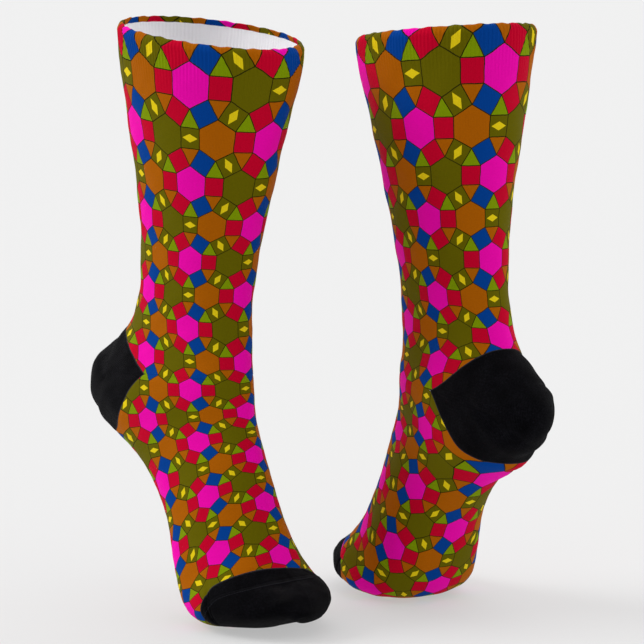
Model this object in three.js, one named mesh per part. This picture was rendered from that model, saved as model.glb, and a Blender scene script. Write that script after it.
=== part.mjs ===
import * as THREE from "three";
import { mergeVertices } from "three/addons/utils/BufferGeometryUtils.js";

// A pair of crew socks, filled out as if worn on tiptoe, in millimetres with +Z up.
// The origin is the middle of the near sock's cuff opening, where the wearer's leg holds it up.

// Each sock is drawn in its own side plane: x runs towards the toe, z up from the floor.
// A row is one knitted course all round: its front point, its back point and its half width.
// egg widens a course towards its front, or its back if negative. side moves it to the big toe.
const COURSES = [
  { frontX: 49, frontZ: 363.3, backX: -84.5, backZ: 378.8, half: 52.5, egg: 0, square: 2.0, side: 0 },
  { frontX: 48, frontZ: 347.8, backX: -83.5, backZ: 361.2, half: 50.5, egg: 0, square: 2.0, side: 0 },
  { frontX: 37.5, frontZ: 312, backX: -80, backZ: 322, half: 43.5, egg: 0, square: 2.0, side: 0 },
  { frontX: 26.5, frontZ: 270, backX: -75, backZ: 278, half: 36, egg: 0, square: 2.0, side: 0 },
  { frontX: 17.5, frontZ: 236, backX: -73.5, backZ: 240, half: 30, egg: 0, square: 2.1, side: 0 },
  { frontX: 13, frontZ: 206, backX: -78, backZ: 205, half: 27, egg: 0, square: 2.1, side: 0 },
  { frontX: 13, frontZ: 183, backX: -91, backZ: 183, half: 25.5, egg: 0.05, square: 2.1, side: 0 },
  { frontX: 14, frontZ: 166, backX: -112, backZ: 167, half: 27, egg: 0.05, square: 2.1, side: 0 },
  { frontX: 14, frontZ: 154, backX: -130, backZ: 148, half: 31.5, egg: 0.02, square: 2.1, side: 0 },
  { frontX: 15, frontZ: 143, backX: -122.5, backZ: 126, half: 32, egg: -0.05, square: 2.1, side: 0 },
  { frontX: 18, frontZ: 132, backX: -96, backZ: 108, half: 29.5, egg: -0.12, square: 2.1, side: 0 },
  { frontX: 23, frontZ: 118, backX: -65, backZ: 88, half: 28.5, egg: -0.18, square: 2.1, side: 0 },
  { frontX: 28, frontZ: 100, backX: -41, backZ: 61, half: 31, egg: -0.22, square: 2.1, side: 0 },
  { frontX: 35.5, frontZ: 79.5, backX: -26, backZ: 30, half: 34.5, egg: -0.25, square: 2.2, side: 0 },
  { frontX: 44, frontZ: 60, backX: -12, backZ: 9.5, half: 38, egg: -0.25, square: 2.3, side: 0 },
  { frontX: 52.5, frontZ: 45, backX: 9, backZ: 3.5, half: 41, egg: -0.2, square: 2.4, side: -0.8 },
  { frontX: 62, frontZ: 37.5, backX: 31, backZ: 4.5, half: 39, egg: -0.15, square: 2.5, side: 0 },
  { frontX: 69, frontZ: 33.5, backX: 49, backZ: 7, half: 33, egg: -0.1, square: 2.4, side: 0 },
  { frontX: 75, frontZ: 28.5, backX: 64, backZ: 10.5, half: 24, egg: 0, square: 2.3, side: -0.5 },
  { frontX: 78.5, frontZ: 19, backX: 74, backZ: 13, half: 11, egg: 0, square: 2.2, side: 1 },
];

// Where the pieces meet, counted in courses from the rim.
const CUFF_END = 1.6;
const HEEL_TOP = 6.1;
const HEEL_BOTTOM = 9.9;
const TOE_TILT = 0.2;
const TOE_LEAN = 0.4;
const TOE_UNDER = 1.1;
const TOE_UNDER_FROM = 81;
const TOE_UNDER_TO = 133;

// The gore line is the seam's end at each side of the heel, in degrees round from the front.
const GORE_ANGLE = 87;
const HEEL_TOP_ROUND = 2.3;
const HEEL_BOTTOM_ROUND = 4;
const HEEL_END_INSET = 0.9;

const CUFF_WALL = 2.4;
const KNIT_WALL = 1.8;
const HEEL_WALL = 2.2;
const TOE_WALL = 2.2;
const SEAM_GAP = 0.3;
const TOE_TIP_DOME = 1;
const MERGE_REACH = 1e-4;

// The rim rolls inwards: how far in, and over how many courses.
const RIM_ROLL = 2.4;
const RIM_ROLL_COURSES = 0.3;
const RIM_ROUND_SHARE = 0.03;

// Soft folds in the knit: middle course and angle, reach along the fold and across it, and depth.
const FOLDS = [
  { sock: "far", course: 8.45, angle: 132, tilt: 14, length: 14, width: 4, depth: 2.2 },
  { sock: "far", course: 8.0, angle: 128, tilt: 8, length: 14, width: 7, depth: -1.0 },
  { sock: "far", course: 9.0, angle: 146, tilt: 8, length: 18, width: 7, depth: -1.4 },
  { sock: "far", course: 8.85, angle: 210, tilt: 0, length: 18, width: 9, depth: 1.8 },
  { sock: "far", course: 10.0, angle: 201, tilt: 0, length: 16, width: 8, depth: -2.4 },
  { sock: "near", course: 8.3, angle: 122, tilt: 6, length: 16, width: 4, depth: 1.6 },
  { sock: "near", course: 7.7, angle: 140, tilt: 4, length: 18, width: 7, depth: -1.0 },
  { sock: "near", course: 8.6, angle: 149, tilt: 0, length: 14, width: 7, depth: -1.4 },
  { sock: "near", course: 9.5, angle: 147, tilt: 0, length: 14, width: 8, depth: -2.0 },
  { sock: "near", course: 6.75, angle: 156, tilt: 0, length: 16, width: 8, depth: 1.4 },
  { sock: "near", course: 18.3, angle: 160, tilt: 0, length: 7, width: 5, depth: 3.2 },
];
const FOLD_REACH_THROUGH = 20;

// Place of each sock's side-plane origin on the floor, and the way its toes point, from +X to +Y.
// lean tips the top towards +X and twist turns the sock round the foot, both in degrees.
const SOCKS = [
  {
    name: "near", x: 10.5, y: -13.3, toesTo: -48.5, lean: 0.2, mirrored: false,
    twist: 3.7, goreCourse: 7.7, toeStart: 14.9,
  },
  {
    name: "far", x: 135.2, y: 32.2, toesTo: 120.5, lean: 0.4, mirrored: true,
    twist: 0, goreCourse: 8, toeStart: 15.6,
  },
];
const RIM_HEIGHT = 371;

const FRONT_STEPS = 8;
const BACK_STEPS = 10;
const CUFF_SHARES = [RIM_ROUND_SHARE, 0.1, 0.2, 0.45, 0.72, 1];
const LEG_STEPS = 12;
const FOOT_STEPS = 10;
const TOE_STEPS = 8;
const HEEL_ROWS = 8;
const SLOPE_STEP = 0.02;

const printedKnit = new THREE.MeshStandardMaterial({ color: 0x8f4a22, roughness: 0.9, metalness: 0 });
const blackKnit = new THREE.MeshStandardMaterial({ color: 0x101014, roughness: 0.95, metalness: 0 });

const radians = THREE.MathUtils.degToRad;

// A value of the course table between its rows, on a smooth curve through them.
function between(column, course) {
  const last = COURSES.length - 1;
  const row = Math.min(Math.max(Math.floor(course), 0), last - 1);
  const t = course - row;
  const at = (i) => COURSES[Math.min(Math.max(i, 0), last)][column];
  const before = row > 0 ? at(row - 1) : 2 * at(0) - at(1);
  const after = row + 2 <= last ? at(row + 2) : 2 * at(last) - at(last - 1);
  const [start, end] = [at(row), at(row + 1)];
  const slope = (end - before) / 2;
  const bend = before - 2.5 * start + 2 * end - after / 2;
  const twist = (after - before) / 2 + 1.5 * (start - end);
  return start + slope * t + bend * t * t + twist * t * t * t;
}

// A point of the smooth outer form: course counted from the rim, angle round from the front.
function formPoint(course, angle) {
  const middleX = (between("frontX", course) + between("backX", course)) / 2;
  const middleZ = (between("frontZ", course) + between("backZ", course)) / 2;
  const power = 2 / between("square", course);
  const forward = Math.sign(Math.cos(angle)) * Math.abs(Math.cos(angle)) ** power;
  const sideways = Math.sign(Math.sin(angle)) * Math.abs(Math.sin(angle)) ** power;
  const half = between("half", course) * (1 + between("egg", course) * forward);
  return new THREE.Vector3(
    middleX + (between("frontX", course) - middleX) * forward,
    between("side", course) + half * sideways,
    middleZ + (between("frontZ", course) - middleZ) * forward
  );
}

function outwardAt(course, angle) {
  const down = formPoint(course + SLOPE_STEP, angle).sub(formPoint(course - SLOPE_STEP, angle));
  const round = formPoint(course, angle + SLOPE_STEP).sub(formPoint(course, angle - SLOPE_STEP));
  return down.cross(round).normalize();
}

// How far the folds sink the knit at a point.
function foldDepth(sock, here) {
  let depth = 0;
  for (const fold of FOLDS.filter((one) => one.sock === sock.name)) {
    const middle = formPoint(fold.course, -radians(fold.angle));
    const along = formPoint(fold.course, -radians(fold.angle) - SLOPE_STEP).sub(middle).normalize();
    const down = formPoint(fold.course + SLOPE_STEP, -radians(fold.angle)).sub(middle).normalize();
    const offset = here.clone().sub(middle);
    const u = offset.dot(along);
    const v = offset.dot(down) - u * Math.tan(radians(fold.tilt));
    const through = (offset.length() - Math.hypot(u, offset.dot(down))) / FOLD_REACH_THROUGH;
    depth += fold.depth * Math.exp(-((u / fold.length) ** 2) - (v / fold.width) ** 2 - through ** 2);
  }
  return depth;
}

// A point of the cloth, sunk from the outer face by a part of its wall; angle is counted on the sock.
function clothPoint(sock, course, angle, sunk) {
  const round = angle + radians(sock.twist);
  const here = formPoint(course, round);
  const roll = RIM_ROLL * Math.max(0, 1 - course / RIM_ROLL_COURSES) ** 2;
  const depth = sunk + roll + foldDepth(sock, here);
  const point = here.addScaledVector(outwardAt(course, round), -depth);
  point.y *= sock.mirrored ? -1 : 1;
  return point;
}

// The courses that half a seam's gap takes up at an angle, measured square to the seam.
function gapCourses(sock, seam, angle) {
  const at = (course, a) => formPoint(course, a + radians(sock.twist));
  const down = at(seam(angle) + SLOPE_STEP, angle).sub(at(seam(angle), angle));
  const [before, after] = [angle - SLOPE_STEP, angle + SLOPE_STEP].map((a) => at(seam(a), a));
  const round = after.sub(before).normalize();
  const step = down.addScaledVector(round, -down.dot(round)).length();
  return (SEAM_GAP / 2) * (SLOPE_STEP / step);
}

// Degrees from the front, 0 to 180 down either side.
function turned(angle) {
  return Math.abs(THREE.MathUtils.radToDeg(Math.atan2(Math.sin(angle), Math.cos(angle))));
}

function heelShare(angle, roundness) {
  const share = Math.max(0, (turned(angle) - GORE_ANGLE) / (180 - GORE_ANGLE));
  return 1 - (1 - share) ** roundness;
}

function heelTop(sock, angle) {
  return sock.goreCourse - (sock.goreCourse - HEEL_TOP) * heelShare(angle, HEEL_TOP_ROUND);
}

function heelBottom(sock, angle) {
  return sock.goreCourse + (HEEL_BOTTOM - sock.goreCourse) * heelShare(angle, HEEL_BOTTOM_ROUND);
}

// The toe cap starts later on the sole than on the instep.
function toeStart(sock, angle) {
  const under = TOE_UNDER * THREE.MathUtils.smoothstep(turned(angle), TOE_UNDER_FROM, TOE_UNDER_TO);
  return sock.toeStart + TOE_TILT * Math.cos(angle) + TOE_LEAN * Math.sin(angle) + under;
}

// Angles of the columns of stitches: even steps across the front and across the heel.
const frontTurns = Array.from({ length: FRONT_STEPS }, (_, j) => (GORE_ANGLE * j) / FRONT_STEPS);
const backTurns = Array.from({ length: BACK_STEPS + 1 }, (_, j) => {
  return GORE_ANGLE + ((180 - GORE_ANGLE) * j) / BACK_STEPS;
});
const halfTurns = [...frontTurns, ...backTurns];
const otherHalf = halfTurns.slice(1, -1).reverse();
const COLUMNS = [...halfTurns, ...otherHalf.map((turn) => 360 - turn)].map(radians);
const HEEL_COLUMNS = COLUMNS.slice(FRONT_STEPS, FRONT_STEPS + 2 * BACK_STEPS + 1);

// Rows of points become a surface; ring joins each row's last point to its first.
function quads(rows, ring, loop) {
  const triangles = [];
  const steps = loop ? rows.length : rows.length - 1;
  for (let i = 0; i < steps; i += 1) {
    const upper = rows[i];
    const lower = rows[(i + 1) % rows.length];
    const columns = ring ? upper.length : upper.length - 1;
    for (let j = 0; j < columns; j += 1) {
      const next = (j + 1) % upper.length;
      triangles.push(upper[j], lower[j], upper[next], upper[next], lower[j], lower[next]);
    }
  }
  return triangles;
}

function fan(centre, row) {
  return row.flatMap((point, j) => [centre, point, row[(j + 1) % row.length]]);
}

// Triangles become one closed mesh with its faces pointing out.
function solid(name, triangles, material) {
  let volume = 0;
  for (let i = 0; i < triangles.length; i += 3) {
    const [a, b, c] = triangles.slice(i, i + 3);
    volume += a.dot(b.clone().cross(c)) / 6;
  }
  const ordered = volume > 0 ? triangles : [...triangles].reverse();
  const geometry = new THREE.BufferGeometry();
  geometry.setFromPoints(ordered);
  const merged = mergeVertices(geometry, MERGE_REACH);
  merged.computeVertexNormals();
  const mesh = new THREE.Mesh(merged, material);
  mesh.name = name;
  return mesh;
}

function ringOf(pointAt) {
  return COLUMNS.map(pointAt);
}

// A knitted tube: its outer face down from the top course, then its inner face back up.
function tube(sock, part, material) {
  const { top, bottom, shares, wall, rounded } = part;
  const courseAt = (angle, share) => {
    const start = top(angle) + (rounded ? 0 : gapCourses(sock, top, angle));
    const end = bottom(angle) - gapCourses(sock, bottom, angle);
    return start + (end - start) * share;
  };
  const rows = [];
  for (const share of shares) rows.push(ringOf((a) => clothPoint(sock, courseAt(a, share), a, 0)));
  for (const share of [...shares].reverse()) {
    rows.push(ringOf((a) => clothPoint(sock, courseAt(a, share), a, wall)));
  }
  if (rounded) rows.push(ringOf((a) => clothPoint(sock, courseAt(a, 0), a, wall / 2)));
  return solid(`${sock.name}_${part.name}`, quads(rows, true, true), material);
}

// The heel cup: a curved lens between the leg and the foot, from one gore line to the other.
function heel(sock) {
  const columns = [...HEEL_COLUMNS];
  columns[0] += radians(HEEL_END_INSET);
  columns[columns.length - 1] -= radians(HEEL_END_INSET);
  const [top, bottom] = [heelTop, heelBottom].map((seam) => (angle) => seam(sock, angle));
  const faceRows = (sunk) =>
    Array.from({ length: HEEL_ROWS + 1 }, (_, i) =>
      columns.map((angle) => {
        const upper = top(angle) + gapCourses(sock, top, angle);
        const lower = bottom(angle) - gapCourses(sock, bottom, angle);
        return clothPoint(sock, upper + ((lower - upper) * i) / HEEL_ROWS, angle, sunk);
      })
    );
  const outer = faceRows(0);
  const inner = faceRows(HEEL_WALL);
  const column = (rows, j) => rows.map((row) => row[j]);
  const ends = (a, b) => quads([a, b], false, false);
  const triangles = [
    ...quads(outer, false, false),
    ...quads([...inner].reverse(), false, false),
    ...ends(inner[0], outer[0]),
    ...ends(outer[HEEL_ROWS], inner[HEEL_ROWS]),
    ...ends(column(outer, 0), column(inner, 0)),
    ...ends(column(inner, columns.length - 1), column(outer, columns.length - 1)),
  ];
  return solid(`${sock.name}_heel`, triangles, blackKnit);
}

// The toe cap: a cup from the end of the foot to the tip.
function toe(sock) {
  const last = COURSES.length - 1;
  const top = (angle) => toeStart(sock, angle);
  const courseAt = (angle, share) => {
    const start = top(angle) + gapCourses(sock, top, angle);
    return start + (last - start) * share;
  };
  const face = (sunk) =>
    Array.from({ length: TOE_STEPS + 1 }, (_, i) =>
      ringOf((a) => clothPoint(sock, courseAt(a, i / TOE_STEPS), a, sunk))
    );
  const tip = new THREE.Vector3();
  const outer = face(0);
  const inner = face(TOE_WALL);
  outer[TOE_STEPS].forEach((point) => tip.addScaledVector(point, 1 / COLUMNS.length));
  const before = new THREE.Vector3();
  outer[TOE_STEPS - 1].forEach((point) => before.addScaledVector(point, 1 / COLUMNS.length));
  const ahead = tip.clone().sub(before).normalize();
  const outerTip = tip.clone().addScaledVector(ahead, TOE_TIP_DOME);
  const innerTip = outerTip.clone().addScaledVector(ahead, -TOE_WALL);
  const triangles = [
    ...quads([...[...inner].reverse(), ...outer], true, false),
    ...fan(outerTip, [...outer[TOE_STEPS]].reverse()),
    ...fan(innerTip, inner[TOE_STEPS]),
  ];
  return solid(`${sock.name}_toe`, triangles, blackKnit);
}

function sockOf(sock) {
  const even = (steps) => Array.from({ length: steps + 1 }, (_, i) => i / steps);
  const [top, bottom, end] = [heelTop, heelBottom, toeStart].map((seam) => (angle) => seam(sock, angle));
  const cuff = { name: "cuff", top: () => 0, bottom: () => CUFF_END, shares: CUFF_SHARES, rounded: true };
  const leg = { name: "leg", top: () => CUFF_END, bottom: top, shares: even(LEG_STEPS) };
  const foot = { name: "foot", top: bottom, bottom: end, shares: even(FOOT_STEPS) };
  const group = new THREE.Group();
  group.add(tube(sock, { ...cuff, wall: CUFF_WALL }, printedKnit));
  group.add(tube(sock, { ...leg, wall: KNIT_WALL }, printedKnit));
  group.add(tube(sock, { ...foot, wall: KNIT_WALL }, printedKnit));
  group.add(heel(sock));
  group.add(toe(sock));
  group.position.set(sock.x, sock.y, -RIM_HEIGHT);
  group.rotation.set(0, radians(sock.lean), radians(sock.toesTo));
  return group;
}

const group = new THREE.Group();
for (const sock of SOCKS) group.add(sockOf(sock));

export default group;
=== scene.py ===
import math
import bmesh
import bpy
import numpy as np
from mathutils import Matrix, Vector


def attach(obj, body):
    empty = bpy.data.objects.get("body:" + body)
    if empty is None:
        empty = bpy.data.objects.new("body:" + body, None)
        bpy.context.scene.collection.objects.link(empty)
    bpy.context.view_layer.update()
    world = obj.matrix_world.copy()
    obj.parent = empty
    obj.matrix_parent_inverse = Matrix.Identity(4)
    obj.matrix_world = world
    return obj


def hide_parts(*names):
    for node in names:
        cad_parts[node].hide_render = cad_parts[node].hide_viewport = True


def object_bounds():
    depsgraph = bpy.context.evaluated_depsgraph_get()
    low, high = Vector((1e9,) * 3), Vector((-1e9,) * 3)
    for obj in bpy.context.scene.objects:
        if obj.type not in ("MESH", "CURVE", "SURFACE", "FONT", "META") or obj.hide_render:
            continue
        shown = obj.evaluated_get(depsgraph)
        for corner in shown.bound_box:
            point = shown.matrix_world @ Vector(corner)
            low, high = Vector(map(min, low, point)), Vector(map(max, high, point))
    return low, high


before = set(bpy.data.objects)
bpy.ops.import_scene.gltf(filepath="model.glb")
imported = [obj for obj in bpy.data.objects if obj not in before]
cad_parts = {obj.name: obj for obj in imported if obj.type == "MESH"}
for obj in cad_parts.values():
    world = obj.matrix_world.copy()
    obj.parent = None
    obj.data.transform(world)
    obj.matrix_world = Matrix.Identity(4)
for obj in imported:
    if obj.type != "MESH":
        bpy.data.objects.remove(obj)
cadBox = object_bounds()
print("socks: frame loaded, CAD box", [list(corner) for corner in cadBox])

mm = 0.001

# the form of a filled sock in mm, in its own side plane: x towards the toe, z up from the floor
# a row is one knitted course all round: front point, back point and half width, then
# egg (wider to the front), square (fuller corners) and side (drift towards the big toe)
courseNames = ("frontX", "frontZ", "backX", "backZ", "half", "egg", "square", "side")
courseRows = np.array([
    (49, 363.3, -84.5, 378.8, 52.5, 0, 2.0, 0),
    (48, 347.8, -83.5, 361.2, 50.5, 0, 2.0, 0),
    (37.5, 312, -80, 322, 43.5, 0, 2.0, 0),
    (26.5, 270, -75, 278, 36, 0, 2.0, 0),
    (17.5, 236, -73.5, 240, 30, 0, 2.1, 0),
    (13, 206, -78, 205, 27, 0, 2.1, 0),
    (13, 183, -91, 183, 25.5, 0.05, 2.1, 0),
    (14, 166, -112, 167, 27, 0.05, 2.1, 0),
    (14, 154, -130, 148, 31.5, 0.02, 2.1, 0),
    (15, 143, -122.5, 126, 32, -0.05, 2.1, 0),
    (18, 132, -96, 108, 29.5, -0.12, 2.1, 0),
    (23, 118, -65, 88, 28.5, -0.18, 2.1, 0),
    (28, 100, -41, 61, 31, -0.22, 2.1, 0),
    (35.5, 79.5, -26, 30, 34.5, -0.25, 2.2, 0),
    (44, 60, -12, 9.5, 38, -0.25, 2.3, 0),
    (52.5, 45, 9, 3.5, 41, -0.2, 2.4, -0.8),
    (62, 37.5, 31, 4.5, 39, -0.15, 2.5, 0),
    (69, 33.5, 49, 7, 33, -0.1, 2.4, 0),
    (75, 28.5, 64, 10.5, 24, 0, 2.3, -0.5),
    (78.5, 19, 74, 13, 11, 0, 2.2, 1),
])
lastCourse = len(courseRows) - 1

# where each sock stands, and the way its toes point, in degrees from +X to +Y
socks = [
    dict(name="near", x=10.5, y=-13.3, toesTo=-48.5, lean=0.2, mirrored=False,
         twist=3.7, goreCourse=7.7, toeStart=14.9, waveShift=0),
    dict(name="far", x=135.2, y=32.2, toesTo=120.5, lean=0.4, mirrored=True,
         twist=0, goreCourse=8, toeStart=15.6, waveShift=2.1),
]
rimHeight = 371  # mm from the floor up to the frame's origin

# where the pieces are linked together, in courses, and in degrees from the front of the sock
seams = dict(cuffEnd=1.6, heelTop=6.1, heelBottom=9.9, goreAngle=87, topRound=2.3, bottomRound=4,
             toeTilt=0.2, toeLean=0.4, toeUnder=1.1, underFrom=81, underTo=133)
rimRoll = dict(depth=2.4, courses=0.3)  # the rim rolls inwards

# soft creases in the knit: middle course, then angle and tilt in degrees, then how far they reach
# along and across and how deep they are in mm, less than 0 for a swelling
creaseNames = ("sock", "course", "angle", "tilt", "length", "width", "depth")
creaseRows = [
    ("far", 8.45, 132, 14, 14, 4, 2.2),
    ("far", 8.0, 128, 8, 14, 7, -1.0),
    ("far", 9.0, 146, 8, 18, 7, -1.4),
    ("far", 8.85, 210, 0, 18, 9, 1.8),
    ("far", 10.0, 201, 0, 16, 8, -2.4),
    ("near", 8.3, 122, 6, 16, 4, 1.6),
    ("near", 7.7, 140, 4, 18, 7, -1.0),
    ("near", 8.6, 149, 0, 14, 7, -1.4),
    ("near", 9.5, 147, 0, 14, 8, -2.0),
    ("near", 6.75, 156, 0, 16, 8, 1.4),
    ("near", 18.3, 160, 0, 7, 5, 3.2),
    # small ones, that the frame's solids leave out
    ("far", 8.3, 133.5, 5, 7, 2.1, 2.3),
    ("far", 8.05, 127, 0, 7, 3.2, -1.2),
    ("far", 8.6, 131, 10, 8, 3.2, -1.2),
    ("far", 7.5, 218, 0, 14, 2, 0.8),
    ("far", 7.75, 217, 0, 12, 3, -0.6),
    ("far", 8.1, 96, 18, 8, 1.2, 0.6),
    ("far", 8.2, 262, 12, 9, 1.3, 0.6),
    ("far", 8.9, 165, 30, 9, 2.2, 0.5),
    ("far", 6.45, 219, 0, 14, 8, 1.9),
    ("far", 9.55, 201, 0, 12, 6.5, 1.3),
    ("far", 10.5, 201, 0, 12, 7, -1.4),
    ("near", 7.82, 97, 21, 9, 1.1, 0.6),
    ("near", 7.82, 124, 10, 6, 3, 0.8),
    ("near", 8.15, 118, 30, 5, 1.6, 0.5),
    ("near", 7.9, 262, 15, 9, 1.3, 0.6),
    ("near", 8.5, 236, 20, 8, 1.8, 0.7),
    ("near", 9.0, 196, 8, 10, 2, 0.5),
    ("near", 8.87, 147, 0, 12, 6, -1.1),
    ("near", 9.85, 145, 0, 12, 8, -1.2),
    ("near", 15.15, 92, 62, 5, 1.1, 0.7),
    ("near", 15.3, 99, 58, 6, 1.2, 0.8),
    ("near", 15.5, 107, 50, 6, 1.3, 0.6),
    ("near", 15.45, 335, -35, 5, 1.2, 0.5),
    ("far", 15.9, 96, 60, 5, 1.2, 0.7),
    ("far", 16.1, 104, 54, 6, 1.3, 0.6),
    ("far", 16.0, 330, -35, 5, 1.2, 0.5),
]
creases = [dict(zip(creaseNames, row)) for row in creaseRows]
creaseThrough = 20  # mm, how far into the sock a crease is felt
slopeStep = 0.02  # courses or radians, the small step that tells a slope

# the knit never lies quite even: wave lengths along x, y and z in mm, starting angle, height in mm
waves = [(44, 61, 38, 0.4, 0.20), (29, -24, 52, 1.9, 0.14), (-17, 21, 14, 3.3, 0.07)]

toeDome = dict(x=0.89, z=-0.46)  # mm, where the small cap past the last course closes


def between(name, course):
    column = courseRows[:, courseNames.index(name)]
    ends = np.concatenate(([2 * column[0] - column[1]], column, [2 * column[-1] - column[-2]]))
    row = np.clip(np.floor(course).astype(int), 0, lastCourse - 1)
    t = course - row
    before, start, end, after = (ends[row + k] for k in range(4))
    bend = before - 2.5 * start + 2 * end - after / 2
    twist = (after - before) / 2 + 1.5 * (start - end)
    return start + (end - before) / 2 * t + bend * t**2 + twist * t**3


def formPoint(course, angle):
    course, angle = np.broadcast_arrays(np.asarray(course, float), np.asarray(angle, float))
    ringCourse = np.minimum(course, lastCourse)
    middleX = (between("frontX", ringCourse) + between("backX", ringCourse)) / 2
    middleZ = (between("frontZ", ringCourse) + between("backZ", ringCourse)) / 2
    power = 2 / between("square", ringCourse)
    forward = np.sign(np.cos(angle)) * np.abs(np.cos(angle)) ** power
    sideways = np.sign(np.sin(angle)) * np.abs(np.sin(angle)) ** power
    half = between("half", ringCourse) * (1 + between("egg", ringCourse) * forward)
    left = 1 - np.clip(course - lastCourse, 0, 1)  # past the last course the toe domes over
    return np.stack((
        middleX + (between("frontX", ringCourse) - middleX) * forward * left + toeDome["x"] * (1 - left**2),
        between("side", ringCourse) + half * sideways * left,
        middleZ + (between("frontZ", ringCourse) - middleZ) * forward * left + toeDome["z"] * (1 - left**2),
    ), -1)


def outwardAt(course, angle):
    down = formPoint(course + slopeStep, angle) - formPoint(course - slopeStep, angle)
    around = formPoint(course, angle + slopeStep) - formPoint(course, angle - slopeStep)
    normal = np.cross(down, around)
    return normal / np.maximum(np.linalg.norm(normal, axis=-1, keepdims=True), 1e-9)


def creaseDepth(sock, here):
    depth = np.zeros(here.shape[:-1])
    for crease in (one for one in creases if one["sock"] == sock["name"]):
        angle = -math.radians(crease["angle"])
        middle = formPoint(crease["course"], angle)
        along = formPoint(crease["course"], angle - slopeStep) - middle
        down = formPoint(crease["course"] + slopeStep, angle) - middle
        along, down = along / np.linalg.norm(along), down / np.linalg.norm(down)
        offset = here - middle
        u = offset @ along
        v = offset @ down - u * math.tan(math.radians(crease["tilt"]))
        through = np.linalg.norm(offset, axis=-1) - np.hypot(u, offset @ down)
        reach = (u / crease["length"]) ** 2 + (v / crease["width"]) ** 2 + (through / creaseThrough) ** 2
        depth += crease["depth"] * np.exp(-reach)
    return depth


def unevenness(sock, here):
    return sum(height * np.sin(2 * math.pi * (here @ (1 / np.array([x, y, z]))) + start + sock["waveShift"])
               for x, y, z, start, height in waves)


def placed(sock, point):
    x, y, z = np.moveaxis(point, -1, 0)
    y = -y if sock["mirrored"] else y
    turn, lean = math.radians(sock["toesTo"]), math.radians(sock["lean"])
    x, y = x * math.cos(turn) - y * math.sin(turn), x * math.sin(turn) + y * math.cos(turn)
    x, z = x * math.cos(lean) + z * math.sin(lean), z * math.cos(lean) - x * math.sin(lean)
    return np.stack((x + sock["x"], y + sock["y"], z - rimHeight), -1) * mm


# a point of the cloth; its angle is counted on the sock, which may be twisted round the foot
def clothPoint(sock, course, angle, out):
    onForm = angle + math.radians(sock["twist"])
    here = formPoint(course, onForm)
    roll = rimRoll["depth"] * np.maximum(0, 1 - course / rimRoll["courses"]) ** 2
    lift = out - roll - creaseDepth(sock, here) + unevenness(sock, here)
    return placed(sock, here + outwardAt(course, onForm) * lift[..., None])


# degrees from the front of the sock, the same to both sides
def turned(angle):
    return np.degrees(np.abs(np.arctan2(np.sin(angle), np.cos(angle))))


def eased(share):
    return share * share * (3 - 2 * share)


# the edges of the pieces, as the course at each angle
def cuffEnd(sock, angle):
    return np.full_like(angle, seams["cuffEnd"])


def heelShare(angle, roundness):
    share = np.maximum(0, (turned(angle) - seams["goreAngle"]) / (180 - seams["goreAngle"]))
    return 1 - (1 - share) ** roundness


def heelTop(sock, angle):
    height = sock["goreCourse"] - seams["heelTop"]
    return sock["goreCourse"] - height * heelShare(angle, seams["topRound"])


def heelBottom(sock, angle):
    height = seams["heelBottom"] - sock["goreCourse"]
    return sock["goreCourse"] + height * heelShare(angle, seams["bottomRound"])


def toeStart(sock, angle):
    share = np.clip((turned(angle) - seams["underFrom"]) / (seams["underTo"] - seams["underFrom"]), 0, 1)
    under = seams["toeUnder"] * eased(share)
    return sock["toeStart"] + seams["toeTilt"] * np.cos(angle) + seams["toeLean"] * np.sin(angle) + under


# lengths over the form, looked up by course and by degrees from the front
lookSteps = dict(aboveRim=0.5, courses=83)
lookCourses = np.linspace(-lookSteps["aboveRim"], lastCourse + 1, lookSteps["courses"])
lookAngles = np.radians(np.arange(0, 181))
lookPoints = formPoint(lookCourses[:, None], lookAngles[None, :])
arcTable = np.zeros(lookPoints.shape[:2])
arcTable[:, 1:] = np.cumsum(np.linalg.norm(np.diff(lookPoints, axis=1), axis=-1), axis=1)
alongTable = np.zeros(lookPoints.shape[:2])
alongTable[1:] = np.cumsum(np.linalg.norm(np.diff(lookPoints, axis=0), axis=-1), axis=0)
halfRing = arcTable[:, -1]


def lookUp(table, course, angle):
    i = np.clip((course - lookCourses[0]) / (lookCourses[1] - lookCourses[0]), 0, len(table) - 1.001)
    j = np.clip(turned(angle), 0, 179.999)
    i0, j0 = np.floor(i).astype(int), np.floor(j).astype(int)
    s, t = i - i0, j - j0
    upper = (1 - t) * table[i0, j0] + t * table[i0, j0 + 1]
    lower = (1 - t) * table[i0 + 1, j0] + t * table[i0 + 1, j0 + 1]
    return (1 - s) * upper + s * lower


# the print: tile columns all round, the courses that the heel takes out of their even spacing, the
# degrees from the front where tiles are counted down the side, and how tall they are at two courses
tiling = dict(columns=9, heelFrom=5.5, heelTo=12, sideLine=65, tallCourses=(0, 15), tallShares=(1.08, 0.74))
evenPeriod = 2 * halfRing / tiling["columns"]
heelEnds = [tiling["heelFrom"], tiling["heelTo"]]
pastHeel = np.interp(lookCourses, heelEnds, np.interp(heelEnds, lookCourses, evenPeriod))
inHeel = (lookCourses > heelEnds[0]) & (lookCourses < heelEnds[1])
tilePeriod = np.where(inHeel, pastHeel, evenPeriod)
sideSteps = np.diff(alongTable[:, tiling["sideLine"]])
tileTall = tilePeriod * np.interp(lookCourses, tiling["tallCourses"], tiling["tallShares"])
tilesDown = np.concatenate(([0], np.cumsum(sideSteps / ((tileTall[1:] + tileTall[:-1]) / 2))))

# stitches all round, mm from one to the next below, and the slant and depth of a stitch's V
knit = dict(wales=168, courseHeight=0.95, slant=1.2, deep=0.3)


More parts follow.
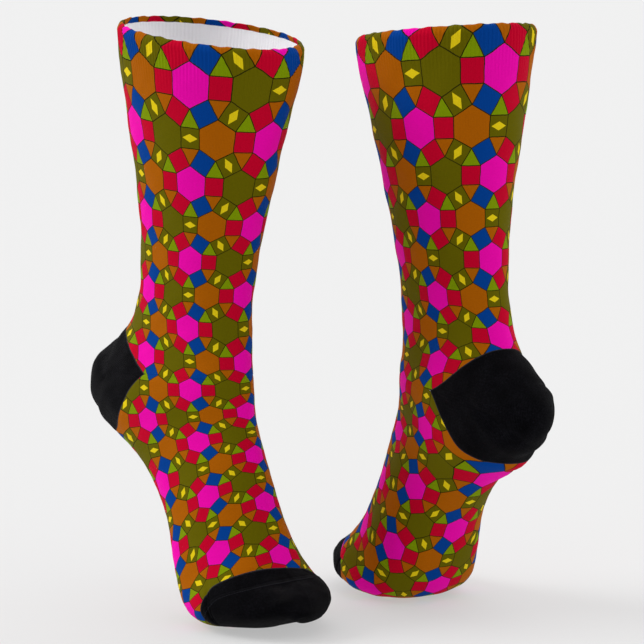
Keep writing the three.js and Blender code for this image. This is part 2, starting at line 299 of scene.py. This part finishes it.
def printMap(course, angle):
    arc, half = lookUp(arcTable, course, angle), np.interp(course, lookCourses, halfRing)
    back = eased(np.clip(turned(angle) / 90 - 1, 0, 1))  # at the back the columns close up evenly
    period = np.interp(course, lookCourses, tilePeriod)
    columns = (1 - back) * arc / period + back * tiling["columns"] / 2 * arc / half
    columns = np.where(angle > math.pi, tiling["columns"] - columns, columns)
    return np.stack((columns, -np.interp(course, lookCourses, tilesDown)), -1)


def knitMap(course, angle):
    share = lookUp(arcTable, course, angle) / np.interp(course, lookCourses, halfRing) / 2
    share = np.where(angle > math.pi, 1 - share, share)
    return np.stack((share * knit["wales"], -lookUp(alongTable, course, angle) / knit["courseHeight"]), -1)


# four-sided faces between each row of points and the one below it
def quads(i, below, j, right, wide):
    corners = (i * wide + j, below * wide + j, below * wide + right, i * wide + right)
    return np.stack(corners, -1).reshape(-1, 4)


def meshOf(name, points, faces, corners, maps, faceMaterials, materials, flipped):
    if flipped:
        faces, corners = faces[:, ::-1], corners[:, ::-1]
    mesh = bpy.data.meshes.new(name)
    mesh.from_pydata(points.tolist(), [], faces.tolist())
    for mapName, values in maps.items():
        layer = mesh.uv_layers.new(name=mapName)
        layer.data.foreach_set("uv", values[corners.ravel()].astype(np.float32).ravel())
    for material in materials:
        mesh.materials.append(material)
    mesh.polygons.foreach_set("material_index", faceMaterials.astype(np.int32))
    mesh.polygons.foreach_set("use_smooth", np.ones(len(faces), bool))
    mesh.set_sharp_from_angle(angle=math.radians(55))  # only cut edges stay sharp
    mesh.validate()
    piece = bpy.data.objects.new(name, mesh)
    bpy.context.scene.collection.objects.link(piece)
    return piece


# a knitted tube as rows of points: down its outside, round its lower edge and back up inside
def tubePiece(sock, name, rowCourses, rowOuts, rowMaterials, columns, materials):
    angle = np.linspace(0, 2 * math.pi, columns + 1)
    course = np.stack([row(angle) for row in rowCourses])
    out = np.stack([np.broadcast_to(row(angle) if callable(row) else row, angle.shape) for row in rowOuts])
    angles = np.broadcast_to(angle, course.shape)
    points = clothPoint(sock, course[:, :-1], angles[:, :-1], out[:, :-1]).reshape(-1, 3)
    rows = len(rowCourses)
    i, j = np.meshgrid(np.arange(rows), np.arange(columns), indexing="ij")
    below, right = (i + 1) % rows, (j + 1) % columns
    faces = quads(i, below, j, right, columns)
    corners = quads(i, below, j, j + 1, columns + 1)
    maps = dict(print=printMap(course, angles).reshape(-1, 2), knit=knitMap(course, angles).reshape(-1, 2))
    faceMaterials = np.broadcast_to(np.array(rowMaterials)[:, None], i.shape).ravel()
    return meshOf(f"{sock['name']}_{name}_cloth", points, faces, corners, maps, faceMaterials, materials,
                  sock["mirrored"])


def steps(count):
    return np.linspace(0, 1, count + 1)


def coursesFrom(sock, top, bottom, share):
    return lambda angle: top(sock, angle) + (bottom(sock, angle) - top(sock, angle)) * share


# colours of the print and the black yarn, as they are dyed; the black yarn's lint colour also serves as a
# painted highlight on the stitch tops
dyes = dict(
    magenta=(0.83, 0.0019, 0.39), olive=(0.12, 0.105, 0.0003), orange=(0.39, 0.102, 0.0003),
    red=(0.52, 0.0004, 0.022), blue=(0.0003, 0.047, 0.27), lime=(0.193, 0.283, 0.0008),
    yellow=(0.75, 0.57, 0.008), outline=(0.02, 0.018, 0.001),
    inside=(0.875, 0.86, 0.885), insideLight=(0.88, 0.88, 0.9),
    black=(0.0001, 0.0001, 0.0003), blackLintAndHighlight=(0.0093, 0.009, 0.0122), seamLint=(0.065, 0.065, 0.085),
)


def colourOf(dye):
    return (*dyes[dye], 1)


def addNode(tree, kind, **settings):
    node = tree.nodes.new(kind)
    for setting, value in settings.items():
        setattr(node, setting, value)
    return node


def feed(tree, socket, value):
    if isinstance(value, bpy.types.NodeSocket):
        tree.links.new(value, socket)
    else:
        socket.default_value = value


def reckon(tree, operation, *values):
    node = addNode(tree, "ShaderNodeMath", operation=operation)
    for socket, value in zip(node.inputs, values):
        feed(tree, socket, value)
    return node.outputs[0]


def blendColours(tree, share, first, second, mode="MIX"):
    node = addNode(tree, "ShaderNodeMix", data_type="RGBA", blend_type=mode)
    feed(tree, node.inputs["Factor"], share)
    feed(tree, node.inputs["A"], first)
    feed(tree, node.inputs["B"], second)
    return node.outputs["Result"]


def objectPlace(tree):
    return addNode(tree, "ShaderNodeTexCoord").outputs["Object"]


def mapPlace(tree, mapName):
    return addNode(tree, "ShaderNodeUVMap", uv_map=mapName).outputs[0]


def mapParts(tree, mapName):
    parts = addNode(tree, "ShaderNodeSeparateXYZ")
    feed(tree, parts.inputs[0], mapPlace(tree, mapName))
    return parts.outputs[0], parts.outputs[1]


# a traditional tiling of hexagons, squares and triangles, as a group from place to colour; its
# sizes are shares of a tile column
tile = dict(edge=0.366, apothem=0.317, outline=0.0085, lozengeLong=0.15, lozengeWide=0.075, wobble=0.018)


def tilingGroup():
    tree = bpy.data.node_groups.new("hexagonTiling", "ShaderNodeTree")
    tree.interface.new_socket("Round", in_out="INPUT", socket_type="NodeSocketFloat")
    tree.interface.new_socket("Down", in_out="INPUT", socket_type="NodeSocketFloat")
    tree.interface.new_socket("Colour", in_out="OUTPUT", socket_type="NodeSocketColor")
    enter = addNode(tree, "NodeGroupInput")
    leave = addNode(tree, "NodeGroupOutput")
    u, v = enter.outputs["Round"], enter.outputs["Down"]
    tall = math.sqrt(3)
    sin60 = tall / 2

    def sums(operation, *values):
        return reckon(tree, operation, *values)

    # the nearest hexagon's middle, from the two halves of the honeycomb
    down = sums("DIVIDE", v, tall)
    firstColumn, firstRow = sums("ROUND", u), sums("ROUND", down)
    firstX = sums("SUBTRACT", u, firstColumn)
    firstY = sums("MULTIPLY", sums("SUBTRACT", down, firstRow), tall)
    otherColumn, otherRow = sums("FLOOR", u), sums("FLOOR", down)
    otherX = sums("SUBTRACT", sums("SUBTRACT", u, otherColumn), 0.5)
    otherY = sums("MULTIPLY", sums("SUBTRACT", sums("SUBTRACT", down, otherRow), 0.5), tall)
    firstFar = sums("ADD", sums("MULTIPLY", firstX, firstX), sums("MULTIPLY", firstY, firstY))
    otherFar = sums("ADD", sums("MULTIPLY", otherX, otherX), sums("MULTIPLY", otherY, otherY))
    useOther = sums("LESS_THAN", otherFar, firstFar)

    def either(first, other):
        return sums("MULTIPLY_ADD", useOther, sums("SUBTRACT", other, first), first)

    x, y = either(firstX, otherX), either(firstY, otherY)
    kind = sums("FLOORED_MODULO", either(firstColumn, sums("ADD", otherColumn, 2)), 3)

    # how far out along the three axes of the hexagon, and which axis is the nearest
    halfX, longX = sums("MULTIPLY", x, 0.5), sums("MULTIPLY", x, sin60)
    halfY, longY = sums("MULTIPLY", y, 0.5), sums("MULTIPLY", y, sin60)
    reach = [x, sums("ADD", halfX, longY), sums("SUBTRACT", longY, halfX)]
    side = [y, sums("SUBTRACT", longX, halfY), sums("ADD", longX, halfY)]
    far = [sums("ABSOLUTE", one) for one in reach]
    farthest = sums("MAXIMUM", far[0], sums("MAXIMUM", far[1], far[2]))
    flatAxis = sums("GREATER_THAN", far[0], sums("MAXIMUM", far[1], far[2]))
    risingAxis = sums("MULTIPLY", sums("SUBTRACT", 1, flatAxis), sums("GREATER_THAN", far[1], far[2]))
    fallingAxis = sums("SUBTRACT", sums("SUBTRACT", 1, flatAxis), risingAxis)
    axes = [flatAxis, risingAxis, fallingAxis]

    def onAxis(values):
        total = sums("MULTIPLY", axes[0], values[0])
        for axis, value in zip(axes[1:], values[1:]):
            total = sums("MULTIPLY_ADD", axis, value, total)
        return total

    aside = onAxis([sums("ABSOLUTE", one) for one in side])
    signs = [sums("SIGN", one) for one in reach]
    across = onAxis([signs[0], sums("MULTIPLY", signs[1], -1), signs[2]])
    neighbour = sums("FLOORED_MODULO", sums("ADD", kind, across), 3)
    missing = sums("FLOORED_MODULO", sums("SUBTRACT", 3, sums("ADD", kind, neighbour)), 3)

    # triangles first, then the squares over them, the hexagons and last the outlines
    threeX = sums("MULTIPLY", sums("MULTIPLY", x, x), 3)
    turn = sums("MULTIPLY", y, sums("SUBTRACT", threeX, sums("MULTIPLY", y, y)))
    colour = blendColours(tree, sums("GREATER_THAN", turn, 0), colourOf("orange"), colourOf("lime"))
    fromMiddle = sums("ABSOLUTE", sums("SUBTRACT", farthest, 0.5))  # the middle of a square
    lozenge = sums("ADD", sums("DIVIDE", fromMiddle, tile["lozengeLong"]),
                   sums("DIVIDE", aside, tile["lozengeWide"]))
    oliveSquare = blendColours(tree, sums("LESS_THAN", lozenge, 1.0), colourOf("olive"), colourOf("yellow"))
    blueShare = sums("MULTIPLY", sums("COMPARE", missing, 1, 0.5), sums("SUBTRACT", 1, flatAxis))
    square = blendColours(tree, blueShare, colourOf("red"), colourOf("blue"))
    square = blendColours(tree, sums("COMPARE", missing, 0, 0.5), square, oliveSquare)
    colour = blendColours(tree, sums("LESS_THAN", aside, tile["edge"] / 2), colour, square)
    hexagon = blendColours(tree, sums("COMPARE", kind, 1, 0.5), colourOf("magenta"), colourOf("olive"))
    hexagon = blendColours(tree, sums("COMPARE", kind, 2, 0.5), hexagon, colourOf("orange"))
    colour = blendColours(tree, sums("LESS_THAN", farthest, tile["apothem"]), colour, hexagon)
    rim = sums("COMPARE", farthest, tile["apothem"], tile["outline"])
    sides = sums("MULTIPLY", sums("COMPARE", aside, tile["edge"] / 2, tile["outline"]),
                 sums("GREATER_THAN", farthest, tile["apothem"]))
    colour = blendColours(tree, sums("MAXIMUM", rim, sides), colour, colourOf("outline"))
    tree.links.new(colour, leave.inputs["Colour"])
    return tree


# the height of plain knit: a V in every stitch, from the knit map
def stitchHeight(tree, wale, row):
    inWale = reckon(tree, "SUBTRACT", reckon(tree, "FRACT", wale), 0.5)
    fromMiddle = reckon(tree, "ABSOLUTE", inWale)
    leg = reckon(tree, "SINE", reckon(tree, "MULTIPLY", fromMiddle, 2 * math.pi))
    slant = reckon(tree, "MULTIPLY_ADD", fromMiddle, -knit["slant"], row)
    loop = reckon(tree, "COSINE", reckon(tree, "MULTIPLY", slant, 2 * math.pi))
    return reckon(tree, "MULTIPLY", leg, reckon(tree, "MULTIPLY_ADD", loop, knit["deep"], 1 - knit["deep"]))


def clothShader(name, look):
    material = bpy.data.materials.new(name)
    material.use_nodes = True
    shader = material.node_tree.nodes["Principled BSDF"]
    shader.inputs["Roughness"].default_value = look["roughness"]
    shader.inputs["Sheen Weight"].default_value = look["sheen"]
    shader.inputs["Sheen Roughness"].default_value = look["sheenRoughness"]
    shader.inputs["Specular IOR Level"].default_value = 0.04  # yarn hardly shines
    return material, material.node_tree, shader


def colourAndBump(tree, shader, colour, height, look):
    tree.links.new(colour, shader.inputs["Base Color"])
    bump = addNode(tree, "ShaderNodeBump")
    bump.inputs["Strength"].default_value = look["bump"]
    bump.inputs["Distance"].default_value = look["bumpDistance"]
    tree.links.new(height, bump.inputs["Height"])
    tree.links.new(bump.outputs["Normal"], shader.inputs["Normal"])


def noiseOn(tree, place, scale, detail=2.0):
    node = addNode(tree, "ShaderNodeTexNoise")
    feed(tree, node.inputs["Vector"], place)
    node.inputs["Scale"].default_value = scale
    node.inputs["Detail"].default_value = detail
    return node.outputs[0]


def printedCloth(name, tilingTree):
    look = dict(roughness=0.88, sheen=0.02, sheenRoughness=0.3, bump=0.35, bumpDistance=0.00035,
                yarnScale=0.9, heather=0.16, heatherMiddle=0.75, stitchShade=0.08, wobbleScale=160)
    material, tree, shader = clothShader(name, look)
    wobble = reckon(tree, "SUBTRACT", noiseOn(tree, objectPlace(tree), look["wobbleScale"]), 0.5)
    tiles = addNode(tree, "ShaderNodeGroup", node_tree=tilingTree)
    for way, part in zip(("Round", "Down"), mapParts(tree, "print")):
        feed(tree, tiles.inputs[way], reckon(tree, "MULTIPLY_ADD", wobble, tile["wobble"], part))
    height = stitchHeight(tree, *mapParts(tree, "knit"))
    yarn = noiseOn(tree, mapPlace(tree, "knit"), look["yarnScale"])
    heatherAndStitchShade = reckon(tree, "MULTIPLY_ADD", yarn, look["heather"], 1 - look["heather"] * look["heatherMiddle"])
    # painted shade and highlight: the print is darker in the valleys of each stitch and lighter on its tops
    heatherAndStitchShade = reckon(tree, "MULTIPLY_ADD", height, look["stitchShade"], heatherAndStitchShade)
    grey = addNode(tree, "ShaderNodeCombineColor")
    for channel in grey.inputs:
        tree.links.new(heatherAndStitchShade, channel)
    colour = blendColours(tree, 1.0, tiles.outputs["Colour"], grey.outputs[0], "MULTIPLY")
    colourAndBump(tree, shader, colour, height, look)
    return material


def paleInside():
    look = dict(roughness=0.9, sheen=0.1, sheenRoughness=0.5, bump=0.3, bumpDistance=0.0003, yarnScale=0.7)
    material, tree, shader = clothShader("paleInside", look)
    yarn = noiseOn(tree, mapPlace(tree, "knit"), look["yarnScale"])
    colour = blendColours(tree, yarn, colourOf("inside"), colourOf("insideLight"))
    colourAndBump(tree, shader, colour, stitchHeight(tree, *mapParts(tree, "knit")), look)
    return material


# how near a line in the edge map is, from 1 on it to 0 at its reach in mm
def nearLine(tree, distance, reach):
    far = reckon(tree, "DIVIDE", reckon(tree, "ABSOLUTE", distance), reach)
    return reckon(tree, "MAXIMUM", reckon(tree, "SUBTRACT", 1, far), 0)


# black yarn; the edge map tells how many mm a place is from the print and from the toe's seam
def blackKnit(name, sheen):
    look = dict(roughness=0.92, sheen=sheen, sheenRoughness=0.3, bump=0.6, bumpDistance=0.0004)
    lint = dict(scale=900, detail=4, sharp=3, share=2.6, wornScale=90, wornDetail=3)
    stitchTops = dict(sharp=2.5, share=0.9)  # painted highlight: the tops of the stitches are lightened in colour, where light would catch them
    fluff = dict(reach=1.1, scale=700, detail=3)
    seam = dict(reach=0.5, secondAway=2.3, secondReach=0.35, secondShare=0.5, lint=0.3, height=1.5)
    material, tree, shader = clothShader(name, look)
    wale, row = mapParts(tree, "knit")
    fromPrint, fromSeam = mapParts(tree, "edge")
    place = objectPlace(tree)
    height = stitchHeight(tree, wale, row)

    fibres = reckon(tree, "POWER", noiseOn(tree, place, lint["scale"], lint["detail"]), lint["sharp"])
    fibres = reckon(tree, "MULTIPLY", fibres, lint["share"])
    tops = reckon(tree, "POWER", height, stitchTops["sharp"])
    # real lint fibres plus a painted highlight on the stitch tops, which lighten the black
    napAndHighlight = reckon(tree, "MULTIPLY_ADD", tops, stitchTops["share"], fibres)
    worn = noiseOn(tree, place, lint["wornScale"], lint["wornDetail"])
    colour = blendColours(tree, reckon(tree, "MULTIPLY", napAndHighlight, worn), colourOf("black"), colourOf("blackLintAndHighlight"))

    tufts = noiseOn(tree, place, fluff["scale"], fluff["detail"])
    fluffy = reckon(tree, "MULTIPLY", nearLine(tree, fromPrint, fluff["reach"]), tufts)
    colour = blendColours(tree, fluffy, colour, colourOf("seamLint"))

    # the linked seam is a line of loops, with a fainter line above it
    line = nearLine(tree, fromSeam, seam["reach"])
    second = nearLine(tree, reckon(tree, "ADD", fromSeam, seam["secondAway"]), seam["secondReach"])
    lines = reckon(tree, "ADD", line, reckon(tree, "MULTIPLY", second, seam["secondShare"]))
    swing = reckon(tree, "SINE", reckon(tree, "MULTIPLY", wale, 2 * math.pi))
    stitched = reckon(tree, "MULTIPLY", lines, reckon(tree, "MULTIPLY_ADD", swing, 0.5, 0.5))
    colour = blendColours(tree, reckon(tree, "MULTIPLY", stitched, seam["lint"]), colour, colourOf("seamLint"))
    height = reckon(tree, "ADD", height, reckon(tree, "MULTIPLY", stitched, seam["height"]))
    colourAndBump(tree, shader, colour, height, look)
    return material


tilingTree = tilingGroup()
printedRib = printedCloth("printedRib", tilingTree)
printedKnit = printedCloth("printedKnit", tilingTree)
palePile = paleInside()
blackSheenByLight = dict(near=0.033, far=0.013)  # painted light: the near sock's black gets more sheen, as its heel faces the key light, and the far sock's less, as its heel is in shade
blackYarn = {name: blackKnit(f"{name}BlackKnit", napAndHighlight) for name, napAndHighlight in blackSheenByLight.items()}
print("socks: cloths made")

# the doubled welt; waves are how many all round, where they start and how high they are
cuff = dict(columns=864, wall=2.4, ribs=144, ribHeight=0.35, ribInside=0.5, ribFade=14,
            outerRows=26, innerRows=18, innerCrowd=1.5, rimRows=8, foldedIn=3.0,
            wave=0.35, waveReach=0.5, waves=((23, 0.7, 1), (41, 2.0, 0.8)),
            courseHeight=16.2, flat=(0.285, 0.040))


def courseAtLength(length):
    return length / cuff["courseHeight"]  # mm to courses, just below the rim


def dress(piece, sock, node):
    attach(piece, "root")
    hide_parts(f"{sock['name']}_{node}")


def makeCuff(sock):
    wall, radius = cuff["wall"], cuff["wall"] / 2
    top = courseAtLength(radius)

    def wavy(angle, course):
        wave = sum(high * np.sin(times * angle + start) for times, start, high in cuff["waves"])
        return course + courseAtLength(cuff["wave"] * wave / 2) * max(0, 1 - course / cuff["waveReach"])

    def rib(angle, course=0):
        share = lookUp(arcTable, np.full_like(angle, course), angle) / np.interp(course, lookCourses, halfRing)
        fade = np.clip((seams["cuffEnd"] - course) / courseAtLength(cuff["ribFade"]), 0, 1)
        return cuff["ribHeight"] * fade * (np.cos(math.pi * cuff["ribs"] * share) - 1) / 2

    rowCourses, rowOuts, rowMaterials = [], [], []
    for share in steps(cuff["outerRows"]):
        course = top + (seams["cuffEnd"] - top) * share
        rowCourses.append(lambda angle, course=course: wavy(angle, course))
        rowOuts.append(lambda angle, course=course: rib(angle, course))
        rowMaterials.append(0)
    foldEnd = top + courseAtLength(cuff["foldedIn"])  # the print shows this far inside
    for share in steps(cuff["innerRows"])[::-1]:
        course = top + (seams["cuffEnd"] - top) * share ** cuff["innerCrowd"]
        rowCourses.append(lambda angle, course=course: wavy(angle, course))
        rowOuts.append(lambda angle: rib(angle) * cuff["ribInside"] - wall)
        rowMaterials.append(0 if course <= foldEnd else 1)
    for turn in np.linspace(0, math.pi, cuff["rimRows"] + 2)[1:-1]:
        course = top - courseAtLength(radius * math.sin(turn))
        inward = radius + radius * math.cos(turn)
        rowCourses.append(lambda angle, course=course: wavy(angle, course))
        rowOuts.append(lambda angle, inward=inward: rib(angle) * (1 - inward / wall / 2) - inward)
        rowMaterials.append(0)
    piece = tubePiece(sock, "cuff", rowCourses, rowOuts, rowMaterials, cuff["columns"], [printedRib, palePile])
    dress(piece, sock, "cuff")


tubes = dict(columns=288, wall=1.8, innerRows=24, edge=0.25, edgeReach=1.2,
             edgeRows=(0, 0.35, 0.8, 1.5), evenFrom=2.6)
leg = dict(name="leg", rows=84, length=190, topDip=0, bottomDip=tubes["edge"], flat=(0.24, 0.20))
foot = dict(name="foot", rows=70, length=110, topDip=tubes["edge"], bottomDip=tubes["edge"], flat=(0.20, 0.14))


# rows run closer together at both edges, where the knit dips into its seam
def tubeShares(tube):
    close, evenFrom = np.array(tubes["edgeRows"]) / tube["length"], tubes["evenFrom"] / tube["length"]
    return np.concatenate((close, np.linspace(evenFrom, 1 - evenFrom, tube["rows"]), 1 - close[::-1]))


def makeTube(sock, tube, top, bottom):
    rowCourses, rowOuts, rowMaterials = [], [], []
    for share in tubeShares(tube):
        fromTop, fromBottom = share * tube["length"], (1 - share) * tube["length"]
        dip = tube["topDip"] * math.exp(-((fromTop / tubes["edgeReach"]) ** 2))
        dip += tube["bottomDip"] * math.exp(-((fromBottom / tubes["edgeReach"]) ** 2))
        rowCourses.append(coursesFrom(sock, top, bottom, share))
        rowOuts.append(-dip)
        rowMaterials.append(0)
    for share in steps(tubes["innerRows"])[::-1]:
        rowCourses.append(coursesFrom(sock, top, bottom, share))
        rowOuts.append(-tubes["wall"])
        rowMaterials.append(1)
    piece = tubePiece(sock, tube["name"], rowCourses, rowOuts, rowMaterials, tubes["columns"],
                      [printedKnit, palePile])
    dress(piece, sock, tube["name"])


farOff = 50.0  # mm, where the edge map holds no line

# the heel cup ends in a gore at each side, set in by a third of a degree
heel = dict(columns=220, rows=120, wall=2.2, inset=0.35, dip=0.2, dipReach=1.2,
            flat=(0.16, 0.10), area=0.0085)


def makeHeel(sock):
    gore = math.radians(seams["goreAngle"] + heel["inset"])
    angle = np.linspace(gore, 2 * math.pi - gore, heel["columns"] + 1)
    top, bottom = heelTop(sock, angle), heelBottom(sock, angle)
    shares = steps(heel["rows"])
    course = top + (bottom - top) * shares[:, None]
    angles = np.broadcast_to(angle, course.shape)
    height = lookUp(alongTable, bottom, angle) - lookUp(alongTable, top, angle)
    fromEdge = np.minimum(shares[:, None], 1 - shares[:, None]) * height
    outer = clothPoint(sock, course, angles, -heel["dip"] * np.exp(-((fromEdge / heel["dipReach"]) ** 2)))
    inner = clothPoint(sock, course, angles, np.full(course.shape, -heel["wall"]))
    points = np.concatenate((outer, inner[::-1])).reshape(-1, 3)
    rows, wide = 2 * len(shares), heel["columns"] + 1
    i, j = np.meshgrid(np.arange(rows), np.arange(heel["columns"]), indexing="ij")
    sides = quads(i, (i + 1) % rows, j, j + 1, wide)
    k = np.arange(len(shares) - 1)  # both gores close between the outer and the inner face
    back = rows - 1 - k
    first = np.stack((k * wide, back * wide, (back - 1) * wide, (k + 1) * wide), -1)
    last = np.stack((k * wide, (k + 1) * wide, (back - 1) * wide, back * wide), -1) + wide - 1
    faces = np.concatenate((sides, first, last))
    flatCourse, flatAngle = np.concatenate((course, course[::-1])), np.concatenate((angles, angles))
    edge = np.stack((np.concatenate((fromEdge, fromEdge[::-1])), np.full(flatCourse.shape, farOff)), -1)
    maps = dict(knit=knitMap(flatCourse, flatAngle).reshape(-1, 2), edge=edge.reshape(-1, 2))
    piece = meshOf(f"{sock['name']}_heel_cloth", points, faces, faces, maps, np.zeros(len(faces)),
                   [blackYarn[sock["name"]]], sock["mirrored"])
    dress(piece, sock, "heel")


# the toe closes with one linked seam, bowed across its top from side to side
toe = dict(columns=300, rows=130, innerRows=28, wall=2.2, dip=0.2, dipReach=1.2,
           seamBow=1.01, seamMiddle=-27, seamHalf=93, ridge=0.2, ridgeWide=0.55,
           groove=0.2, grooveAway=2.3, grooveWide=0.9,
           flat=dict(near=(0.16, 0.05), far=(0.14, 0.04)), area=dict(near=0.0065, far=0.0045))


def makeToe(sock):
    columns = toe["columns"]
    angle = np.linspace(0, 2 * math.pi, columns + 1)
    start = toeStart(sock, angle)
    away = (np.degrees(angle) - toe["seamMiddle"] + 180) % 360 - 180
    bow = toe["seamBow"] * (1 - (away / toe["seamHalf"]) ** 2)
    rowSets = []
    for shares, out in ((steps(toe["innerRows"])[:-1][::-1], -toe["wall"]), (steps(toe["rows"])[:-1], 0)):
        course = start + (lastCourse + 1 - start) * shares[:, None]
        along = lookUp(alongTable, course, np.broadcast_to(angle, course.shape))
        fromEdge = along - lookUp(alongTable, start, angle)
        fromSeam = np.where(bow > 0, along - lookUp(alongTable, start + np.maximum(bow, 0), angle), farOff)
        shape = np.zeros(course.shape)
        if out == 0:
            shape = toe["ridge"] * np.exp(-((fromSeam / toe["ridgeWide"]) ** 2))
            shape -= toe["groove"] * np.exp(-(((fromSeam + toe["grooveAway"]) / toe["grooveWide"]) ** 2))
            shape -= toe["dip"] * np.exp(-((fromEdge / toe["dipReach"]) ** 2))
        rowSets.append((course, out + shape, fromEdge, fromSeam))
    course, out, fromEdge, fromSeam = (np.concatenate([one[k] for one in rowSets]) for k in range(4))
    angles = np.broadcast_to(angle, course.shape)
    points = clothPoint(sock, course[:, :-1], angles[:, :-1], out[:, :-1]).reshape(-1, 3)
    rows = len(course)
    i, j = np.meshgrid(np.arange(rows - 1), np.arange(columns), indexing="ij")
    faces = quads(i, i + 1, j, (j + 1) % columns, columns)
    corners = quads(i, i + 1, j, j + 1, columns + 1)
    edge = np.stack((fromEdge, fromSeam), -1)
    maps = dict(knit=knitMap(course, angles).reshape(-1, 2), edge=edge.reshape(-1, 2))
    piece = meshOf(f"{sock['name']}_toe_cloth", points, faces, corners, maps, np.zeros(len(faces)),
                   [blackYarn[sock["name"]]], sock["mirrored"])
    closeTips(piece)
    dress(piece, sock, "toe")


# the last ring of each face closes on its own middle
def closeTips(piece):
    work = bmesh.new()
    work.from_mesh(piece.data)
    openEdges = [edge for edge in work.edges if edge.is_boundary]
    filled = bmesh.ops.holes_fill(work, edges=openEdges, sides=0)
    bmesh.ops.poke(work, faces=filled["faces"])
    for face in work.faces:
        face.smooth = True
    bmesh.ops.recalc_face_normals(work, faces=work.faces)
    work.to_mesh(piece.data)
    work.free()


for sock in socks:
    makeCuff(sock)
    makeTube(sock, leg, cuffEnd, heelTop)
    makeTube(sock, foot, heelBottom, toeStart)
    makeHeel(sock)
    makeToe(sock)
    print("socks:", sock["name"], "sock made")

# floor, light and camera
floorHeight = cadBox[0][2]
studio = dict(floorSize=60, floorColour=(0.33, 0.33, 0.33), floorRoughness=0.9, floorGlow=0.441,
              room=1.0, roomLeast=0.05, roomFrom=(0.34, 0.5, 0.0),
              sun=1.75, sunAngle=30, sunFrom=(-1.0, 0.1, 0.7))

bpy.ops.mesh.primitive_plane_add(size=studio["floorSize"], location=(0, 0, floorHeight))
floor = bpy.context.object
floor.name = "floor"
floorMaterial = bpy.data.materials.new("paleFloor")
floorMaterial.use_nodes = True
floorShader = floorMaterial.node_tree.nodes["Principled BSDF"]
floorShader.inputs["Base Color"].default_value = (*studio["floorColour"], 1)
floorShader.inputs["Roughness"].default_value = studio["floorRoughness"]
floorShader.inputs["Specular IOR Level"].default_value = 0
floorShader.inputs["Emission Color"].default_value = (1, 1, 1, 1)  # a light table, so that shadows stay pale
floorShader.inputs["Emission Strength"].default_value = studio["floorGlow"]
floor.data.materials.append(floorMaterial)

world = bpy.data.worlds.new("softRoom")
bpy.context.scene.world = world
world.use_nodes = True
room = world.node_tree
room.nodes["Background"].inputs["Color"].default_value = (1, 1, 1, 1)
roomSide = addNode(room, "ShaderNodeVectorMath", operation="DOT_PRODUCT")  # brighter to the right and behind
feed(room, roomSide.inputs[0], addNode(room, "ShaderNodeTexCoord").outputs["Generated"])
roomSide.inputs[1].default_value = studio["roomFrom"]
roomLight = reckon(room, "ADD", roomSide.outputs["Value"], studio["room"])
roomLight = reckon(room, "MAXIMUM", roomLight, studio["roomLeast"])
feed(room, room.nodes["Background"].inputs["Strength"], roomLight)

sun = bpy.data.lights.new("keyLight", "SUN")
sun.energy = studio["sun"]
sun.angle = math.radians(studio["sunAngle"])
sunHolder = bpy.data.objects.new("keyLight", sun)
sunHolder.rotation_euler = Vector(studio["sunFrom"]).to_track_quat("Z", "Y").to_euler()
bpy.context.scene.collection.objects.link(sunHolder)

# a long lens, a little above the socks; metres, degrees and mm
view = dict(place=(0.0695, -1.8193, 0.0917), pitchDown=8.54, lens=163.4, sensor=36)
camera = bpy.data.cameras.new("camera")
camera.lens = view["lens"]
camera.sensor_width = view["sensor"]
camera.clip_end = 100
cameraHolder = bpy.data.objects.new("camera", camera)
cameraHolder.location = view["place"]
cameraHolder.rotation_euler = (math.radians(90 - view["pitchDown"]), 0, 0)
bpy.context.scene.collection.objects.link(cameraHolder)
bpy.context.scene.camera = cameraHolder
bpy.context.scene.view_settings.view_transform = "Standard"
print("socks: floor, light and camera set")
